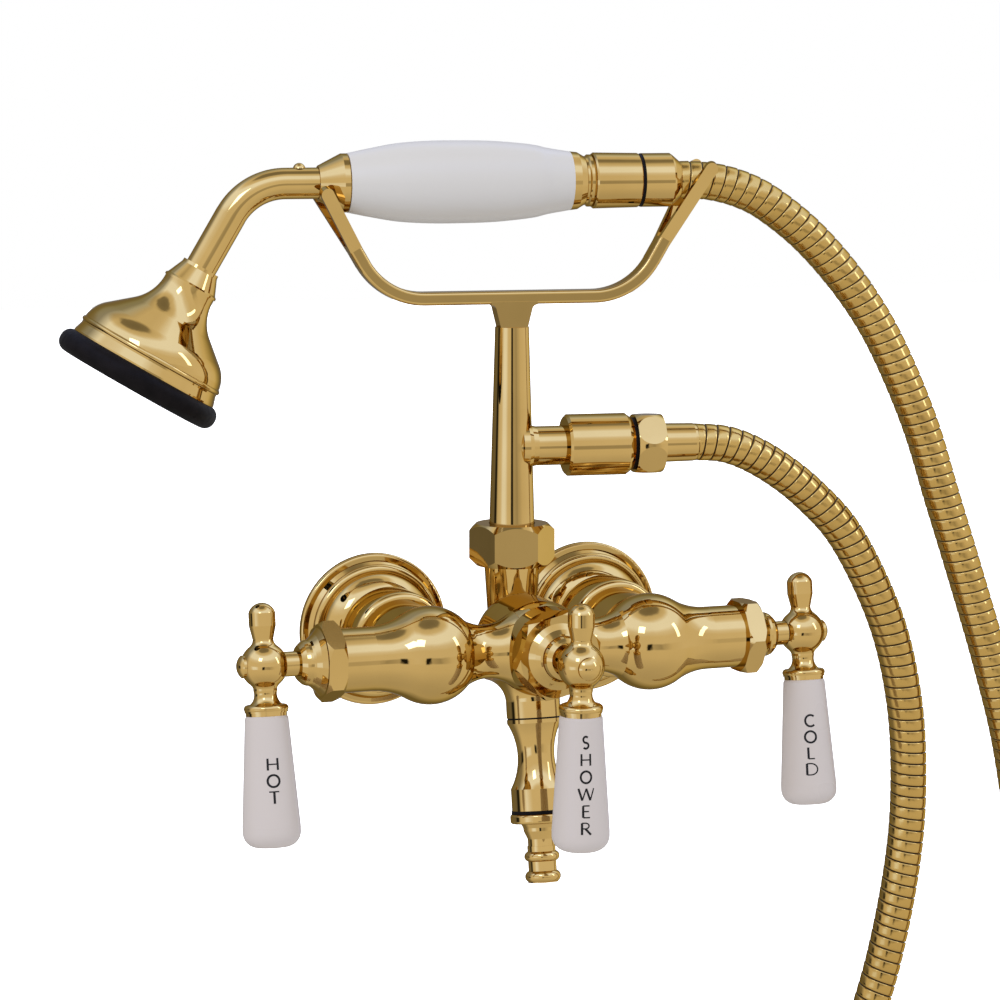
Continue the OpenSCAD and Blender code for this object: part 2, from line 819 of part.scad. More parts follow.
module hose_ferrule() {
  color(brass) along_riser(outlet_z) rotate_extrude() difference() {
    polygon([[0, hose_nut_b], [7.3, hose_nut_b], [7.1, ferrule_b - 1], [6.9, ferrule_b], [0, ferrule_b]]);
    translate([-1, hose_nut_b - 1]) square([5.6, ferrule_b]);
  }
}

// ---- hose ----
function unit(v) = v / norm(v);
function spline(p0, p1, p2, p3, t) =
  0.5 * ((2 * p1) + (p2 - p0) * t + (2 * p0 - 5 * p1 + 4 * p2 - p3) * t * t
         + (3 * p1 - p0 - 3 * p2 + p3) * t * t * t);
// the end points are set on the fitting faces, level with their axes
route_in = concat([[tail_end, grip_z]], [for (i = [1 : len(route) - 2]) route[i]], [[ferrule_b, outlet_z]]);
route_n = len(route_in);
before = [2 * tail_end - route_in[1][0], grip_z];
after = [2 * ferrule_b - route_in[route_n - 2][0], outlet_z];
route_all = concat([before], route_in, [after]);
steps = 2;
centres = concat([for (i = [0 : route_n - 2], k = [0 : steps - 1])
                   spline(route_all[i], route_all[i + 1], route_all[i + 2], route_all[i + 3], k / steps)],
                 [route_in[route_n - 1]]);
last = len(centres) - 1;
tangents = [for (i = [0 : last])
             i == 0 || i == last ? (i == 0 ? [1, 0] : [-1, 0])
             : unit(centres[i + 1] - centres[i - 1])];
hose_points = [for (i = [0 : last], k = [0 : hose_sides - 1])
                let (a = 360 * k / hose_sides, n = [-tangents[i][1], tangents[i][0]])
                [centres[i][0] + hose_r * cos(a) * n[0], hose_r * sin(a),
                 centres[i][1] + hose_r * cos(a) * n[1]]];
hose_sides_faces = [for (i = [0 : last - 1], k = [0 : hose_sides - 1])
                     let (q = (k + 1) % hose_sides, a = i * hose_sides, b = a + hose_sides)
                     each [[a + k, b + k, b + q], [a + k, b + q, a + q]]];
hose_caps = [[for (k = [0 : hose_sides - 1]) k],
             [for (k = [hose_sides - 1 : -1 : 0]) last * hose_sides + k]];

module hose() {
  color(brass) on_riser() polyhedron(hose_points, concat(hose_sides_faces, hose_caps));
}

// ---- hand shower ----
module tail_nut() {
  color(brass) along_riser(grip_z) rotate_extrude() difference() {
    polygon([[0, tail_a], [9.9, tail_a], [9.9, tail_b - 0.8], [9.4, tail_b], [7.2, tail_end], [0, tail_end]]);
    translate([-1, tail_a - 1]) square([core_r + 1, tail_end]);
  }
}

module tail_seal() {
  color(black) along_riser(grip_z) ring(core_r, 9.7, coupler_b, tail_a);
}

module tail_coupler() {
  color(brass) along_riser(grip_z) rotate_extrude() difference() {
    polygon([[0, ring_b], [9.8, ring_b], [10.3, ring_b + 0.6], [10, coupler_b - 0.4],
             [9.7, coupler_b], [0, coupler_b]]);
    translate([-1, ring_b - 1]) square([core_bore + 1, coupler_b]);
  }
}

module end_ring() {
  a = grip_b;
  color(brass) along_riser(grip_z) rotate_extrude() difference() {
    polygon([[0, a], [10.8, a], [10.5, a + 2.8], [9, a + 5.4], [9, a + 6.2], [9.6, a + 6.8],
             [9.6, a + 7.8], [9.2, ring_b], [0, ring_b]]);
    translate([-1, a - 1]) square([core_r + 1, washer_t + 3]);
    translate([-1, a - 1]) square([washer_r + 1, washer_t + 1]);
    translate([-1, a - 1]) square([core_bore + 1, ring_b]);
  }
}

module grip_washers() {
  color(black) along_riser(grip_z) {
    ring(core_r, washer_r, grip_a - washer_t, grip_a);
    ring(core_r, washer_r, grip_b, grip_b + washer_t);
  }
}

// outline of the grip: radius against distance along it
grip_end = 10.8;
grip_swell = grip_r - grip_end;
grip_shape = [[grip_end, grip_a], [grip_end + 0.38 * grip_swell, grip_a + 8],
              [grip_end + 0.8 * grip_swell, grip_a + 18.5], [grip_end + 0.98 * grip_swell, grip_a + 30],
              [grip_r, grip_a + 42], [grip_end + 0.92 * grip_swell, grip_a + 55],
              [grip_end + 0.62 * grip_swell, grip_a + 68.5], [grip_end + 0.3 * grip_swell, grip_b - 8],
              [grip_end, grip_b]];
grip_parts = 5;
grip_all = concat([2 * grip_shape[0] - grip_shape[1]], grip_shape, [2 * grip_shape[8] - grip_shape[7]]);
grip_line = concat([for (i = [0 : len(grip_shape) - 2], k = [0 : grip_parts - 1])
                     spline(grip_all[i], grip_all[i + 1], grip_all[i + 2], grip_all[i + 3], k / grip_parts)],
                   [grip_shape[8]]);

module grip() {
  color(porcelain) along_riser(grip_z) rotate_extrude() difference() {
    polygon(concat([[0, grip_a]], grip_line, [[0, grip_b]]));
    translate([-1, grip_a - 1]) square([core_r + 1, grip_b - grip_a + 2]);
  }
}

module core_tube() {
  color(brass) along_riser(grip_z) ring(core_bore, core_r, grip_a - 4, grip_b + washer_t + 2);
}

module grip_cone() {
  b = grip_a;
  color(brass) along_riser(grip_z) rotate_extrude() difference() {
    polygon([[0, cone_a], [cone_small, cone_a], [cone_big, b - 2.4], [cone_big, b - 0.4],
             [cone_big - 0.4, b], [0, b]]);
    translate([-1, cone_a - 1]) square([tube_r + 1, grip_a - 4 - cone_a + 1]);
    translate([-1, cone_a]) square([core_r + 1, b - cone_a + 1]);
    translate([-1, b - washer_t]) square([washer_r + 1, washer_t + 1]);
  }
}

module neck_screw() {
  color(brass) on_riser() translate([-79, 0, grip_z + tube_r - 1.2]) rotate_extrude() {
    square([1.2, 1.6]);
    translate([0, 1]) intersection() {
      translate([0, -0.4]) circle(r = 2.3);
      square([3, 3]);
    }
  }
}

module neck_tube() {
  corner = head_u + (grip_z - head_z) / tan(head_angle);
  bend_in = neck_bend * tan(head_angle / 2);
  start = corner + bend_in;
  color(brass) on_riser() difference() {
    union() {
      translate([start, 0, grip_z]) rotate([0, 90, 0]) cylinder(r = tube_r, h = grip_a - 4 - start);
      translate([start, 0, grip_z - neck_bend]) rotate([90, 0, 0]) rotate([0, 0, 90])
        rotate_extrude(angle = head_angle) translate([neck_bend, 0]) circle(r = tube_r);
      translate([corner, 0, grip_z]) rotate([0, -head_angle - 90, 0])
        translate([0, 0, bend_in - lap])
          cylinder(r = tube_r + proud, h = (grip_z - head_z) / sin(head_angle) - bend_in + 6 + lap);
    }
    translate([start, 0, grip_z]) rotate([0, 90, 0]) cylinder(r = core_bore, h = 60);
    translate([start, 0, grip_z - neck_bend]) rotate([90, 0, 0]) rotate([0, 0, 90])
      rotate_extrude(angle = head_angle) translate([neck_bend, 0]) circle(r = core_bore);
    translate([corner, 0, grip_z]) rotate([0, -head_angle - 90, 0]) translate([0, 0, bend_in - lap])
      cylinder(r = core_bore + proud, h = 60);
    translate([-79, 0, grip_z + tube_r - 1.2]) cylinder(r = 1.2, h = 5);
    translate([-79, 0, grip_z + tube_r - 0.2]) cylinder(r = 2.3, h = 5);
  }
}

module head_nut() {
  color(brass) on_head() rotate_extrude() difference() {
    polygon([[0, 0], [7, 0], [7.1, 1.2], [9.6, head_nut_l - 1.4], [10.3, head_nut_l - 0.8],
             [10.3, head_nut_l], [0, head_nut_l]]);
    translate([-1, -1]) square([tube_r + proud + 1, 7]);
    translate([-1, -1]) square([core_bore + 1, head_nut_l + 2]);
  }
}

// outline of the bell: a hollow curve, a straight flank and a full curve, tangent to each other
hollow_r = 16;
hollow_at = [25.9, 9];
full_r = 12;
full_at = [15.6, 37];

// the bell's outline moved inward by a wall, from a height up to a height
module bell_section(wall, low, high) {
  across = full_at - hollow_at;
  a = atan2(across[1], across[0]) + acos((hollow_r + full_r) / norm(across));
  flank = [cos(a), sin(a)];
  t1 = hollow_at + (hollow_r + wall) * flank;
  t2 = full_at - (full_r - wall) * flank;
  difference() {
    polygon([[0, low], [hollow_at[0], low], t1, t2, [0, t2[1]]]);
    translate(hollow_at) circle(r = hollow_r + wall);
  }
  translate([0, t2[1]]) square([full_at[0], high - t2[1]]);
  intersection() {
    translate(full_at) circle(r = full_r - wall);
    translate([full_at[0] - 1, t2[1] - 1]) square([full_r + 1, high - t2[1] + 1]);
  }
}

module bell() {
  wall = 2;
  color(brass) on_head() rotate_extrude() difference() {
    bell_section(0, head_nut_l, bell_end);
    bell_section(wall, 2 * head_nut_l, bell_end + 1);
    translate([-1, 0]) square([core_bore + 1, bell_end]);
  }
}

module bell_band() {
  color(brass) on_head() rotate_extrude() difference() {
    union() {
      translate([0, bell_end]) square([27.6, band_end - bell_end]);
      translate([27.2, bell_end + 1]) circle(r = 1);
      polygon([[27.4, bell_end + 2], [28.6, band_end - 0.6], [28.6, band_end], [26, band_end]]);
    }
    translate([-1, bell_end - 1]) square([26.4, band_end]);
    translate([-1, plate_a]) square([plate_r + 1, band_end]);
  }
}

module spray_plate() {
  color(brass) on_head() difference() {
    ring(0, plate_r, plate_a, plate_b);
    for (q = [[0, 1], [4.5, 6], [9, 12], [13.5, 18], [18, 24]], k = [0 : q[1] - 1])
      rotate([0, 0, 360 * k / q[1]]) translate([q[0], 0, plate_a - 1]) cylinder(r = spray_r, h = 5, $fn = 24);
  }
}

module rubber_ring() {
  f = 3.9;
  color(black) on_head() rotate_extrude() difference() {
    soft_section(plate_r - 3, rubber_r, band_end, rubber_b, f);
    translate([0, plate_a]) square([plate_r, plate_b - plate_a]);
    translate([plate_r - 3, rubber_b]) circle(r = 3);
  }
}

wall_flanges();
wall_couplings();
union_washers();
union_collars();
body();
bonnets();
bonnet_gaskets();
stem_seals();
seat_discs();
seat_seals();
hot_spindle();
hot_disc();
hot_hub();
hot_lever();
hot_rod();
hot_cap();
cold_spindle();
cold_disc();
cold_hub();
cold_lever();
cold_rod();
cold_cap();
diverter_bonnet();
diverter_gasket();
diverter_seal();
diverter_spindle();
diverter_plug();
shower_hub();
shower_lever();
shower_rod();
shower_cap();
spout_gasket();
spout();
nozzle_gasket();
nozzle();
riser_nut();
riser_washer();
riser();
cradle();
outlet_coupling();
outlet_seal();
hose_nut();
hose_ferrule();
hose();
tail_nut();
tail_seal();
tail_coupler();
end_ring();
grip_washers();
grip();
core_tube();
grip_cone();
neck_screw();
neck_tube();
head_nut();
bell();
bell_band();
spray_plate();
rubber_ring();
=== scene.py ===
"""Wall mounted bath faucet: hose, lettering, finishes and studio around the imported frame."""

import json
import math

import bmesh
import bpy
import numpy as np
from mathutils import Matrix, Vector
from mathutils.bvhtree import BVHTree


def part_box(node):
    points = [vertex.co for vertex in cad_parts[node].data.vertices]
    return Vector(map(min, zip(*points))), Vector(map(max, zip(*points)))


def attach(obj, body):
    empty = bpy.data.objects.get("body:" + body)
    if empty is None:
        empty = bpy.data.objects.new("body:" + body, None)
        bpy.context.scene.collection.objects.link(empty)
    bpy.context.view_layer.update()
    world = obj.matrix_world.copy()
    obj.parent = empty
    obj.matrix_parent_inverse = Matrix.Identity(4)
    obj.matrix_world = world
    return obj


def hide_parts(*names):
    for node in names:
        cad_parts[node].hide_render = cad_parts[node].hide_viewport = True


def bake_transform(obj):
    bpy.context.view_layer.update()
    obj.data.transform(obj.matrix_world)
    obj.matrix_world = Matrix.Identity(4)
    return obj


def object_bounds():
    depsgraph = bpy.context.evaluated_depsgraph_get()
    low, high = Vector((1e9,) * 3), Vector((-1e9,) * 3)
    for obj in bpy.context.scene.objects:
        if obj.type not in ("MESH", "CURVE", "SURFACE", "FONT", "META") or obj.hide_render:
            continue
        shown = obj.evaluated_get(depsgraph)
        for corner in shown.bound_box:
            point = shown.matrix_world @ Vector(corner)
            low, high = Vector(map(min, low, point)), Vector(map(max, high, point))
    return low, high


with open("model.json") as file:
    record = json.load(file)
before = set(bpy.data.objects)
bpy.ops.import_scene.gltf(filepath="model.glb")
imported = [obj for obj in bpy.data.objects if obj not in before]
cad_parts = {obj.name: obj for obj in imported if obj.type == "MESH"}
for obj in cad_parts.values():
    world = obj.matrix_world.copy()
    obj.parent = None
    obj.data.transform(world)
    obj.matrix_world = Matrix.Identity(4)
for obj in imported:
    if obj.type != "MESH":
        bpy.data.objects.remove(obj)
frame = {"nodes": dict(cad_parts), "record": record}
CAD_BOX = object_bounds()
NODES = frame["nodes"]
MM = 0.001


def new_object(name, data):
    """A new object in the scene, with the given data."""
    obj = bpy.data.objects.new(name, data)
    bpy.context.scene.collection.objects.link(obj)
    return obj


# ---------------------------------------------------------------- camera
CAMERA_AT = (-0.49184, -1.32753, 0.22941)
CAMERA_AZIMUTH = -20.65
CAMERA_DOWN = 7.35
CAMERA_LENS = 135.49
SENSOR_WIDTH = 36
NEAREST = 0.05
FARTHEST = 20


def make_camera():
    data = bpy.data.cameras.new("camera")
    data.lens = CAMERA_LENS
    data.sensor_width = SENSOR_WIDTH
    data.clip_start = NEAREST
    data.clip_end = FARTHEST
    cam = new_object("camera", data)
    cam.location = CAMERA_AT
    cam.rotation_euler = (math.radians(90 - CAMERA_DOWN), 0, math.radians(CAMERA_AZIMUTH))
    bpy.context.scene.camera = cam


make_camera()

# ---------------------------------------------------------------- hose
# the hose lies in the cradle's plane: the riser stands off the wall and the cradle is turned on it
RISER_Y = -0.035
TURN = math.radians(-8)
HOSE_R = 7.0
HOSE_PITCH = 4.3
HOSE_SIDES = 28
# the route that part.scad sweeps, started 0.2 mm sooner: along the cradle and up, in millimetres
ROUTE = [(62.8, 168.8), (75, 168.1), (87, 165), (98.5, 159.1), (114.2, 146.6), (130.1, 128.8),
         (143.9, 107.8), (157.9, 77.2), (168.1, 46.3), (178.3, 15.2), (188.1, -16.1), (197, -50),
         (204, -95), (209, -150), (211, -210), (211.5, -270), (211, -330), (211.2, -385),
         (211, -430.5), (203.6, -458.3), (183.3, -478.6), (155.5, -486), (127.8, -478.6),
         (107.4, -458.3), (100, -430.5), (99.8, -375), (105, -310), (113, -262), (124, -214),
         (136, -169), (147, -131), (154.1, -92.7), (155.9, -61.5), (153.7, -30.3), (146, 0.9),
         (130.7, 32.1), (115.3, 49.7), (99.4, 61.9), (84.2, 69.2), (70, 71)]
# one band of the wound strip: share of the pitch, and depth below the outside, in millimetres
BAND = [(0.0, 0.60), (0.03, 0.30), (0.09, 0.14), (0.30, 0.07), (0.60, 0.03), (0.84, 0.0),
        (0.90, 0.03), (0.93, 0.25), (0.955, 0.60)]
# faces at least this deep all over are painted near-black, as painted shade in the groove
PAINTED_SHADE_DEPTH = 0.24
# steps of the curve between two points of the route, and between the points of the line kept as a
# path
ROUTE_STEPS = 24
PATH_STEP = 6
# in metres: vertices closer than the first are one, and edges shorter than the second go
WELD = 2e-6
THINNEST = 1e-6


def riser_point(u, w, z):
    """A point given along the cradle, into the wall and up, in millimetres."""
    c, s = math.cos(TURN), math.sin(TURN)
    return Vector(((u * c - w * s) * MM, RISER_Y + (u * s + w * c) * MM, z * MM))


def spline_points(route, steps):
    """A Catmull-Rom curve through the route, level where it meets its fittings."""
    pts = [np.array(p, float) for p in route]
    first = np.array([2 * pts[0][0] - pts[1][0], pts[0][1]])
    last = np.array([2 * pts[-1][0] - pts[-2][0], pts[-1][1]])
    pts = [first] + pts + [last]
    out = []
    for i in range(len(route) - 1):
        p0, p1, p2, p3 = pts[i:i + 4]
        for t in np.arange(steps) / steps:
            squared = 2 * p0 - 5 * p1 + 4 * p2 - p3
            cubed = 3 * p1 - p0 - 3 * p2 + p3
            out.append(0.5 * (2 * p1 + (p2 - p0) * t + squared * t * t + cubed * t ** 3))
    out.append(pts[-2])
    return np.array(out)


class HoseLine:
    """Places and directions along the hose by distance from its upper end."""

    def __init__(self, line):
        self.line = line
        gaps = np.linalg.norm(np.diff(line, axis=0), axis=1)
        self.along = np.concatenate([[0], np.cumsum(gaps)])
        self.total = self.along[-1]

    def at(self, s):
        s = min(max(s, 0.0), self.total)
        return np.array([np.interp(s, self.along, self.line[:, k]) for k in (0, 1)])

    def normal(self, s):
        """Across the hose, in the plane of its route."""
        reach = 0.6
        if s < 2 * reach:
            return np.array([0.0, 1.0])
        if s > self.total - 2 * reach:
            return np.array([0.0, -1.0])
        t = self.at(s + reach) - self.at(s - reach)
        return np.array([-t[1], t[0]]) / np.linalg.norm(t)


def band_rings(hose_line):
    """The wound strip's rows of points: each row climbs one pitch in a turn."""
    points, depths = [], []
    turns = int(hose_line.total / HOSE_PITCH) + 2
    for turn in range(turns):
        for share, depth in BAND:
            for side in range(HOSE_SIDES):
                part = side / HOSE_SIDES
                s = min(max((turn + share - 1 + part) * HOSE_PITCH, 0.0), hose_line.total)
                c, n = hose_line.at(s), hose_line.normal(s)
                r = HOSE_R - depth
                a = 2 * math.pi * part
                points.append(riser_point(c[0] + r * math.cos(a) * n[0], r * math.sin(a),
                                          c[1] + r * math.cos(a) * n[1]))
                depths.append(depth)
    return points, depths


def band_faces(rows):
    """Faces between rows, closed at the seam onto the row one pitch on."""
    n, per = HOSE_SIDES, len(BAND)
    faces = []
    for i in range(rows - 1):
        for j in range(n - 1):
            a, b = i * n + j, (i + 1) * n + j
            faces.append((a, a + 1, b + 1, b))
        if i + per + 1 < rows:
            a, b = i * n + n - 1, (i + 1) * n + n - 1
            faces.append((a, (i + per) * n, (i + per + 1) * n, b))
    return faces


def face_outward(mesh, weld=False):
    """Turns the faces outward, after closing up the mesh where asked."""
    bm = bmesh.new()
    bm.from_mesh(mesh)
    if weld:
        bmesh.ops.remove_doubles(bm, verts=bm.verts, dist=WELD)
        bmesh.ops.dissolve_degenerate(bm, dist=THINNEST, edges=bm.edges)
    bmesh.ops.recalc_face_normals(bm, faces=bm.faces)
    bm.to_mesh(mesh)
    bm.free()


def make_hose():
    line = spline_points(ROUTE, ROUTE_STEPS)
    hose_line = HoseLine(line)
    points, depths = band_rings(hose_line)
    mesh = bpy.data.meshes.new("hose_bands")
    mesh.from_pydata(points, [], band_faces(len(points) // HOSE_SIDES))
    for face in mesh.polygons:
        # faces deep in the groove get slot 1, the painted shade
        if min(depths[v] for v in face.vertices) >= PAINTED_SHADE_DEPTH:
            face.material_index = 1
    face_outward(mesh, weld=True)
    mesh.shade_smooth()
    obj = new_object("hose_bands", mesh)
    path = [tuple(riser_point(u, 0, z)) for u, z in line[::PATH_STEP]]
    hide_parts("hose")
    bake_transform(obj)
    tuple(path[0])
    return obj


hose = make_hose()

# ---------------------------------------------------------------- lettering on the levers
# letter height, and how far the ink stands out of the lever and reaches into it, in millimetres;
# the two weights of stroke are in millimetres too
LETTER_H = 4.2
THICK = 0.74
THIN = 0.46
INK_PROUD = 0.04
INK_SUNK = 0.05
STROKE_STEP = 0.4
# degrees between points of a bowed stroke
BOW_STEP = 12
# a lever's radius where the words are, as a share of its radius at the lower end
WORD_RADIUS = 0.88
# rays to the porcelain start this many radii out
RAY_START = 4
# added before rounding down, and the shortest length that is divided by
ALMOST_ONE = 0.999
TINY = 1e-9


def bow(x, y, rx, ry, start, end):
    """Points of an elliptical stroke between two angles in degrees."""
    count = max(4, int(abs(end - start) / BOW_STEP))
    return [(x + rx * math.cos(math.radians(start + (end - start) * k / count)),
             y + ry * math.sin(math.radians(start + (end - start) * k / count)))
            for k in range(count + 1)]


# each letter: its width, then the points of each stroke and its weight; the width and the points
# are in units of the letter height
GLYPHS = {
    "H": (0.80, [([(0, 0), (0, 1)], THICK),
                 ([(0.8, 0), (0.8, 1)], THICK),
                 ([(0, 0.5), (0.8, 0.5)], THIN)]),
    "O": (0.96, [(bow(0.48, 0.5, 0.46, 0.5, 0, 360), THICK)]),
    "T": (0.76, [([(0.38, 0), (0.38, 1)], THICK),
                 ([(0, 1), (0.76, 1)], THIN)]),
    "S": (0.54, [(bow(0.28, 0.75, 0.24, 0.26, 40, 270)
                  + bow(0.27, 0.245, 0.26, 0.245, 90, -140), THICK)]),
    "W": (1.30, [([(0, 1), (0.32, 0)], THICK),
                 ([(0.32, 0), (0.65, 1)], THIN),
                 ([(0.65, 1), (0.98, 0)], THICK),
                 ([(0.98, 0), (1.3, 1)], THIN)]),
    "E": (0.52, [([(0, 0), (0, 1)], THICK),
                 ([(0, 1), (0.52, 1)], THIN),
                 ([(0, 0.52), (0.46, 0.52)], THIN),
                 ([(0, 0), (0.54, 0)], THIN)]),
    "R": (0.70, [([(0, 0), (0, 1)], THICK),
                 ([(0, 1)] + bow(0.26, 0.76, 0.28, 0.24, 90, -90) + [(0, 0.52)], THIN),
                 ([(0.26, 0.52), (0.68, 0)], THICK)]),
    "C": (0.78, [(bow(0.46, 0.5, 0.45, 0.5, 48, 312), THICK)]),
    "L": (0.48, [([(0, 0), (0, 1)], THICK),
                 ([(0, 0), (0.48, 0)], THIN)]),
    "D": (0.80, [([(0, 0), (0, 1)], THICK),
                 ([(0, 1)] + bow(0.3, 0.5, 0.5, 0.5, 90, -90) + [(0, 0)], THIN)]),
}
# the side levers hang forward of plumb by this
LEVER_LEAN = 7.5
# word, lever node, body, lean, facing azimuth, pitch of the letters, and middle of the word as a
# share of the lever's length
WORDS = [("HOT", "hot_lever", "hot_valve", LEVER_LEAN, -7.0, 5.9, 0.49),
         ("COLD", "cold_lever", "cold_valve", LEVER_LEAN, -14.0, 6.0, 0.52),
         ("SHOWER", "shower_lever", "diverter", 0.0, -10.0, 6.15, 0.485)]


def fine_line(points, step):
    """The same stroke with points at most a step apart."""
    out = [np.array(points[0], float)]
    for p, q in zip(points, points[1:]):
        p, q = np.array(p, float), np.array(q, float)
        count = max(1, int(np.linalg.norm(q - p) / step + ALMOST_ONE))
        out += [p + (q - p) * k / count for k in range(1, count + 1)]
    return out


def stroke_edges(points, weight):
    """Left and right edges of a stroke of one weight."""
    left, right = [], []
    for i, p in enumerate(points):
        a, b = points[max(i - 1, 0)], points[min(i + 1, len(points) - 1)]
        t = (b - a) / max(np.linalg.norm(b - a), TINY)
        side = np.array([-t[1], t[0]]) * weight / 2
        left.append(p + side)
        right.append(p - side)
    return left, right


class LeverFace:
    """Wraps flat lettering, in millimetres across and down, on a lever's own surface."""

    def __init__(self, node, lean, azimuth):
        low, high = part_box(node)
        tilt, turn = math.radians(lean), math.radians(azimuth)
        self.down = Vector((0, -math.sin(tilt), -math.cos(tilt)))
        face = Vector((math.sin(turn), -math.cos(turn), 0))
        self.face = (face - self.down * face.dot(self.down)).normalized()
        self.right = self.face.cross(self.down)
        self.top = Vector(((low[0] + high[0]) / 2, 0, high[2]))
        end_r = (high[0] - low[0]) / 2
        front = low[1] + end_r
        self.length = (high[2] - low[2]) / math.cos(tilt)
        self.top.y = front + self.length * math.sin(tilt)
        self.r = WORD_RADIUS * end_r
        mesh = NODES[node].data
        self.tree = BVHTree.FromPolygons([v.co for v in mesh.vertices],
                                         [tuple(f.vertices) for f in mesh.polygons])

    def at(self, across, along, proud):
        angle = across * MM / self.r
        out = self.face * math.cos(angle) + self.right * math.sin(angle)
        axis = self.top + self.down * along * MM
        hit = self.tree.ray_cast(axis + out * RAY_START * self.r, -out)[0]
        return hit + out * proud * MM


def letter_edges(letter, centre):
    """Left and right edges of each of a letter's strokes, in millimetres across and down."""
    width, strokes = GLYPHS[letter]
    for points, weight in strokes:
        flat = [((x - width / 2) * LETTER_H, (0.5 - y) * LETTER_H + centre) for x, y in points]
        yield stroke_edges(fine_line(flat, STROKE_STEP), weight)


def add_strip(face, left, right, verts, faces):
    """Adds a closed strip between two edges, partly proud of the lever and partly sunk in it."""
    start = len(verts)
    for a, b in zip(left, right):
        verts += [face.at(*a, INK_PROUD), face.at(*b, INK_PROUD),
                  face.at(*b, -INK_SUNK), face.at(*a, -INK_SUNK)]
    for i in range(len(left) - 1):
        row = start + 4 * i
        faces += [(row + k, row + (k + 1) % 4, row + 4 + (k + 1) % 4, row + 4 + k)
                  for k in range(4)]
    end = start + 4 * (len(left) - 1)
    faces += [(start + 3, start + 2, start + 1, start), (end, end + 1, end + 2, end + 3)]


def make_word(word, node, body, lean, azimuth, pitch, middle):
    face = LeverFace(node, lean, azimuth)
    verts, faces = [], []
    first = middle * face.length / MM - pitch * (len(word) - 1) / 2
    for place, letter in enumerate(word):
        for left, right in letter_edges(letter, first + pitch * place):
            add_strip(face, left, right, verts, faces)
    mesh = bpy.data.meshes.new(f"{node}_word")
    mesh.from_pydata(verts, [], faces)
    face_outward(mesh)
    obj = new_object(f"{node}_word", mesh)
    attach(obj, body)
    return obj


words = [make_word(*entry) for entry in WORDS]


# ---------------------------------------------------------------- materials
# most of a noise lies between these
NOISE_LOW = 0.3
NOISE_HIGH = 0.7


def new_material(name):
    m = bpy.data.materials.new(name)
    m.use_nodes = True
    nt = m.node_tree
    nt.nodes.clear()
    out = nt.nodes.new("ShaderNodeOutputMaterial")
    bsdf = nt.nodes.new("ShaderNodeBsdfPrincipled")
    nt.links.new(bsdf.outputs["BSDF"], out.inputs["Surface"])
    return m, nt, bsdf


def noise(nt, scale, detail, rough=0.5, coords="Object"):
    tc = nt.nodes.new("ShaderNodeTexCoord")
    n = nt.nodes.new("ShaderNodeTexNoise")
    n.inputs["Scale"].default_value = scale
    n.inputs["Detail"].default_value = detail
    n.inputs["Roughness"].default_value = rough
    nt.links.new(tc.outputs[coords], n.inputs["Vector"])
    return n.outputs["Fac"]


def ramp(nt, fac, stops):
    r = nt.nodes.new("ShaderNodeValToRGB")
    el = r.color_ramp.elements
    while len(el) < len(stops):
        el.new(0.5)
    for e, (place, colour) in zip(el, stops):
        e.position = place
        e.color = (*colour, 1)
    nt.links.new(fac, r.inputs["Fac"])
    return r.outputs["Color"]


def level(nt, fac, low, high):
    m = nt.nodes.new("ShaderNodeMapRange")
    m.inputs["From Min"].default_value = NOISE_LOW
    m.inputs["From Max"].default_value = NOISE_HIGH
    m.inputs["To Min"].default_value = low
    m.inputs["To Max"].default_value = high
    nt.links.new(fac, m.inputs["Value"])
    return m.outputs["Result"]


def bump(nt, bsdf, fac, distance, strength):
    b = nt.nodes.new("ShaderNodeBump")
    b.inputs["Strength"].default_value = strength
    b.inputs["Distance"].default_value = distance
    nt.links.new(fac, b.inputs["Height"])
    nt.links.new(b.outputs["Normal"], bsdf.inputs["Normal"])


# noise scales in waves a metre: tone, roughness and unevenness
METAL_WAVES = (45, 900, 110)
GLAZE_WAVES = (12, 25, 20)
MATT_WAVES = (200, 500, 1500)
# unevenness: how far it reaches, in metres, and how strongly it shows
METAL_RELIEF = (0.00003, 0.6)
GLAZE_RELIEF = (0.00002, 0.2)
MATT_STRENGTH = 0.6
GLAZE_ROUGH = (0.26, 0.32)
GLAZE_SHINE = 0.22


def tone(nt, bsdf, fac, dark, light):
    """Base colour that wanders between two tones."""
    colour = ramp(nt, fac, [(NOISE_LOW, dark), (NOISE_HIGH, light)])
    nt.links.new(colour, bsdf.inputs["Base Color"])
    return colour


def metal(name, dark, light, rough, edge):
    m, nt, bsdf = new_material(name)
    tones, wear, waves = METAL_WAVES
    bsdf.inputs["Metallic"].default_value = 1.0
    bsdf.inputs["Specular Tint"].default_value = (*edge, 1)
    tone(nt, bsdf, noise(nt, tones, 4), dark, light)
    nt.links.new(level(nt, noise(nt, wear, 5, 0.6), *rough), bsdf.inputs["Roughness"])
    bump(nt, bsdf, noise(nt, waves, 2), *METAL_RELIEF)
    return m


def glaze(name, dark, light):
    m, nt, bsdf = new_material(name)
    tones, wear, waves = GLAZE_WAVES
    tone(nt, bsdf, noise(nt, tones, 2), dark, light)
    nt.links.new(level(nt, noise(nt, wear, 2), *GLAZE_ROUGH), bsdf.inputs["Roughness"])
    bsdf.inputs["Specular IOR Level"].default_value = GLAZE_SHINE
    bump(nt, bsdf, noise(nt, waves, 1), *GLAZE_RELIEF)
    return m


def matt(name, dark, light, rough=(0.45, 0.6), grain=0.00004, shine=0.5):
    m, nt, bsdf = new_material(name)
    tones, wear, grains = MATT_WAVES
    tone(nt, bsdf, noise(nt, tones, 4), dark, light)
    nt.links.new(level(nt, noise(nt, wear, 3), *rough), bsdf.inputs["Roughness"])
    bsdf.inputs["Specular IOR Level"].default_value = shine
    bump(nt, bsdf, noise(nt, grains, 4), grain, MATT_STRENGTH)
    return m


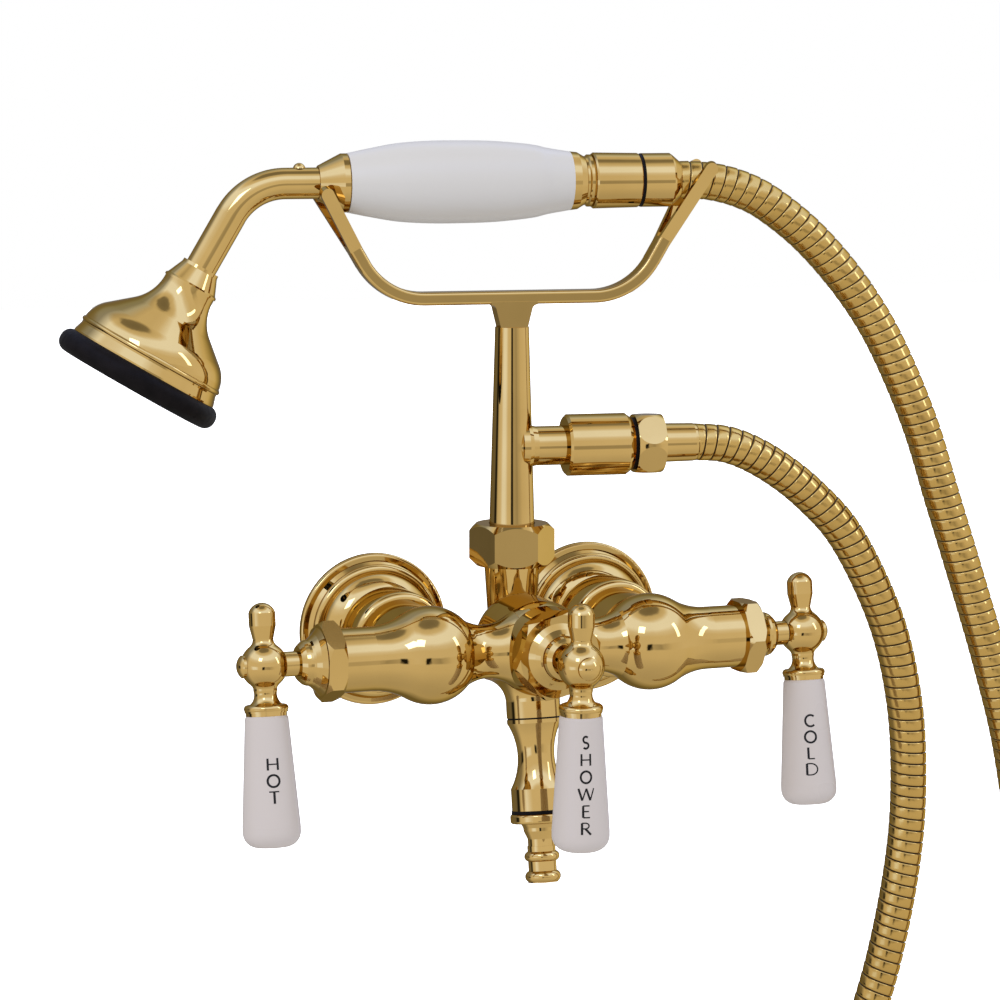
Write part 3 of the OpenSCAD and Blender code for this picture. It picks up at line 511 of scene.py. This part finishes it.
# what brass turns to where it is seen edge on
BRASS_EDGE = (0.66, 0.55, 0.36)
FINISHES = {
    "brass": metal("polished_brass", (0.530, 0.343, 0.110), (0.570, 0.373, 0.124), (0.02, 0.05),
                   BRASS_EDGE),
    "hose_brass": metal("hose_brass", (0.470, 0.290, 0.078), (0.530, 0.335, 0.095), (0.10, 0.18),
                        BRASS_EDGE),
    "steel": metal("plain_steel", (0.50, 0.50, 0.52), (0.62, 0.62, 0.64), (0.20, 0.30),
                   (0.8, 0.8, 0.8)),
    "porcelain": glaze("grip_porcelain", (0.57, 0.55, 0.53), (0.59, 0.57, 0.55)),
    # black rubber for the seals; the same near-black also colours the spout and nozzle gasket
    # rings, which are painted shade for the dark lines at those joints
    "rubber": matt("black_rubber_and_painted_shade", (0.004, 0.003, 0.003), (0.008, 0.006, 0.006), shine=0.06),
    "ceramic": matt("ground_ceramic", (0.72, 0.70, 0.66), (0.80, 0.79, 0.75), (0.3, 0.4), 0.00001),
}
LEVER_PORCELAIN = glaze("lever_porcelain", (0.55, 0.495, 0.47), (0.57, 0.515, 0.49))
# painted shade: a near-black brown for the hose's groove between the windings, where the brass lies
# in shade
GROOVE_PAINTED_SHADE = matt("hose_groove_painted_shade", (0.030, 0.018, 0.006), (0.055, 0.034, 0.012), (0.4, 0.5), 0.00001, 0.2)
INK = matt("lettering_ink", (0.006, 0.005, 0.005), (0.012, 0.011, 0.010), (0.4, 0.5), 0.00001, 0.2)

for entry in frame["record"]["subparts"]:
    part = NODES[entry["node"]]
    part.data.materials.clear()
    part.data.materials.append(FINISHES[entry["material_slot"]])
for _, lever, *_ in WORDS:
    NODES[lever].data.materials[0] = LEVER_PORCELAIN
hose.data.materials.append(FINISHES["hose_brass"])
# the second slot is the groove's painted shade
hose.data.materials.append(GROOVE_PAINTED_SHADE)
for word in words:
    word.data.materials.append(INK)

# ---------------------------------------------------------------- studio
FLOOR_DROP = 0.02
FLOOR_SIZE = 8.0
FLOOR_WAVES = 3
FLOOR_TONE = (0.97, 0.97, 0.97)
WHITE = (1, 1, 1)
STUDIO_AIM = (0, -0.05, 0.05)
# brightness the metal sees by height, from straight down to straight up
BY_HEIGHT = [(0.0, 0.7), (0.25, 0.95), (0.44, 1.0), (0.46, 0.3), (0.50, 1.05), (0.66, 1.05),
             (0.74, 1.3), (0.80, 1.9), (0.90, 1.9), (0.94, 1.1), (0.97, 0.9), (0.985, 0.35),
             (1.0, 0.3)]
# and round the horizon, by azimuth from the front toward +X
BY_AZIMUTH = [(-180, 0.75), (-130, 0.75), (-121, 0.05), (-112, 0.05), (-104, 0.9), (-85, 1.1),
              (-72, 1.8), (-58, 1.8), (-46, 1.1), (-27, 1.0), (-24, 0.02), (-19, 0.02),
              (-15, 0.7), (8, 0.55), (14, 0.7), (35, 0.95), (70, 1.05), (120, 1.1), (180, 0.6)]
# what lies behind the object is dark, so polished edges are drawn dark
BEYOND = (-0.15, 0.99, 0)
BEYOND_FADE = [(0.3, 1.0), (0.65, 0.34)]
# how much the azimuths count, by height
NEAR_HORIZON = [(0.38, 0), (0.41, 1), (0.50, 1), (0.53, 0)]
# the edges of the bands are a little uneven
WOBBLE = 0.04
WOBBLE_SCALE = 2.2
DIFFUSE_LEVEL = 0.93
# red, green and blue for each unit of brightness over one
OVER_ONE = (0.4, 0.75, 2)
COOL = (0.46, 0.60, 1.0)
# name, place, width, height, radiance, colour, and whether only polished surfaces see it
LAMPS = [("key", (-1.0, -1.2, 1.1), 0.5, 0.5, 6, COOL, True),
         ("side", (1.3, -0.9, 0.7), 0.25, 0.8, 5, COOL, True),
         ("soft_key", (-0.9, -0.9, 1.4), 0.8, 0.8, 4, WHITE, False)]


def make_floor():
    z = CAD_BOX[0][2] - FLOOR_DROP
    s = FLOOR_SIZE
    data = bpy.data.meshes.new("floor")
    data.from_pydata([(-s, -s, z), (s, -s, z), (s, s, z), (-s, s, z)], [], [(0, 1, 2, 3)])
    floor = new_object("floor", data)
    m, nt, bsdf = new_material("pale_floor")
    pale = tone(nt, bsdf, noise(nt, FLOOR_WAVES, 2), FLOOR_TONE, WHITE)
    nt.links.new(pale, bsdf.inputs["Emission Color"])
    bsdf.inputs["Emission Strength"].default_value = 1.0
    bsdf.inputs["Roughness"].default_value = 0.9
    data.materials.append(m)
    floor.visible_glossy = False
    floor.visible_diffuse = False


def sheen(v):
    """Colour of a studio patch: neutral up to one, cooler above, so brass shows cream lights."""
    return tuple(min(v, 1) + share * max(v - 1, 0) for share in OVER_ONE)


def area_light(name, at, size_x, size_y, radiance, colour, glossy):
    """A lamp seen either in reflections or by matt surfaces."""
    data = bpy.data.lights.new(name, "AREA")
    data.color = colour
    data.shape = "RECTANGLE"
    data.size = size_x
    data.size_y = size_y
    data.energy = radiance * math.pi * size_x * size_y
    lamp = new_object(name, data)
    lamp.location = at
    lamp.rotation_euler = (Vector(STUDIO_AIM) - Vector(at)).to_track_quat("-Z", "Y").to_euler()
    lamp.visible_glossy = glossy
    lamp.visible_diffuse = not glossy


def grey(stops):
    return [(place, (v, v, v)) for place, v in stops]


def lit(stops):
    return [(place, sheen(v)) for place, v in stops]


def combine(nt, operation, a, b):
    """A math node: each input is a socket or a number."""
    m = nt.nodes.new("ShaderNodeMath")
    m.operation = operation
    for socket, value in zip(m.inputs, (a, b)):
        if isinstance(value, (int, float)):
            socket.default_value = value
        else:
            nt.links.new(value, socket)
    return m.outputs["Value"]


def plain_background(nt, v):
    """An even grey background."""
    node = nt.nodes.new("ShaderNodeBackground")
    node.inputs["Color"].default_value = (v, v, v, 1)
    return node


def make_world():
    """White to the camera, even to matt surfaces, and a banded studio to the polished metal."""
    world = bpy.data.worlds.new("studio")
    bpy.context.scene.world = world
    world.use_nodes = True
    nt = world.node_tree
    nt.nodes.clear()
    tc = nt.nodes.new("ShaderNodeTexCoord")
    split = nt.nodes.new("ShaderNodeSeparateXYZ")
    nt.links.new(tc.outputs["Generated"], split.inputs["Vector"])
    wobble = combine(nt, "SUBTRACT", noise(nt, WOBBLE_SCALE, 2, coords="Generated"), 0.5)
    height = combine(nt, "ADD", combine(nt, "MULTIPLY", split.outputs["Z"], 0.5), 0.5)
    height = combine(nt, "ADD", height, combine(nt, "MULTIPLY", wobble, WOBBLE))
    forward = combine(nt, "MULTIPLY", split.outputs["Y"], -1)
    round_angle = combine(nt, "ARCTAN2", split.outputs["X"], forward)
    turn = combine(nt, "ADD", combine(nt, "DIVIDE", round_angle, 2 * math.pi), 0.5)
    turn = combine(nt, "ADD", turn, combine(nt, "MULTIPLY", wobble, WOBBLE))
    mix = nt.nodes.new("ShaderNodeMix")
    mix.data_type = "RGBA"
    near_horizon = ramp(nt, height, grey(NEAR_HORIZON))
    nt.links.new(near_horizon, mix.inputs["Factor"])
    nt.links.new(ramp(nt, height, lit(BY_HEIGHT)), mix.inputs["A"])
    azimuths = [((a + 180) / 360, v) for a, v in BY_AZIMUTH]
    nt.links.new(ramp(nt, turn, lit(azimuths)), mix.inputs["B"])
    dot = nt.nodes.new("ShaderNodeVectorMath")
    dot.operation = "DOT_PRODUCT"
    nt.links.new(tc.outputs["Generated"], dot.inputs[0])
    dot.inputs[1].default_value = BEYOND
    fade = ramp(nt, dot.outputs["Value"], grey(BEYOND_FADE))
    studio = nt.nodes.new("ShaderNodeBackground")
    nt.links.new(mix.outputs["Result"], studio.inputs["Color"])
    nt.links.new(fade, studio.inputs["Strength"])
    even = plain_background(nt, DIFFUSE_LEVEL)
    white = plain_background(nt, 1)
    rays = nt.nodes.new("ShaderNodeLightPath")
    matt_or_glossy = nt.nodes.new("ShaderNodeMixShader")
    nt.links.new(rays.outputs["Is Diffuse Ray"], matt_or_glossy.inputs["Fac"])
    nt.links.new(studio.outputs["Background"], matt_or_glossy.inputs[1])
    nt.links.new(even.outputs["Background"], matt_or_glossy.inputs[2])
    choose = nt.nodes.new("ShaderNodeMixShader")
    nt.links.new(rays.outputs["Is Camera Ray"], choose.inputs["Fac"])
    nt.links.new(matt_or_glossy.outputs["Shader"], choose.inputs[1])
    nt.links.new(white.outputs["Background"], choose.inputs[2])
    out = nt.nodes.new("ShaderNodeOutputWorld")
    nt.links.new(choose.outputs["Shader"], out.inputs["Surface"])


make_floor()
make_world()
for lamp_facts in LAMPS:
    area_light(*lamp_facts)
bpy.context.scene.view_settings.view_transform = "Standard"
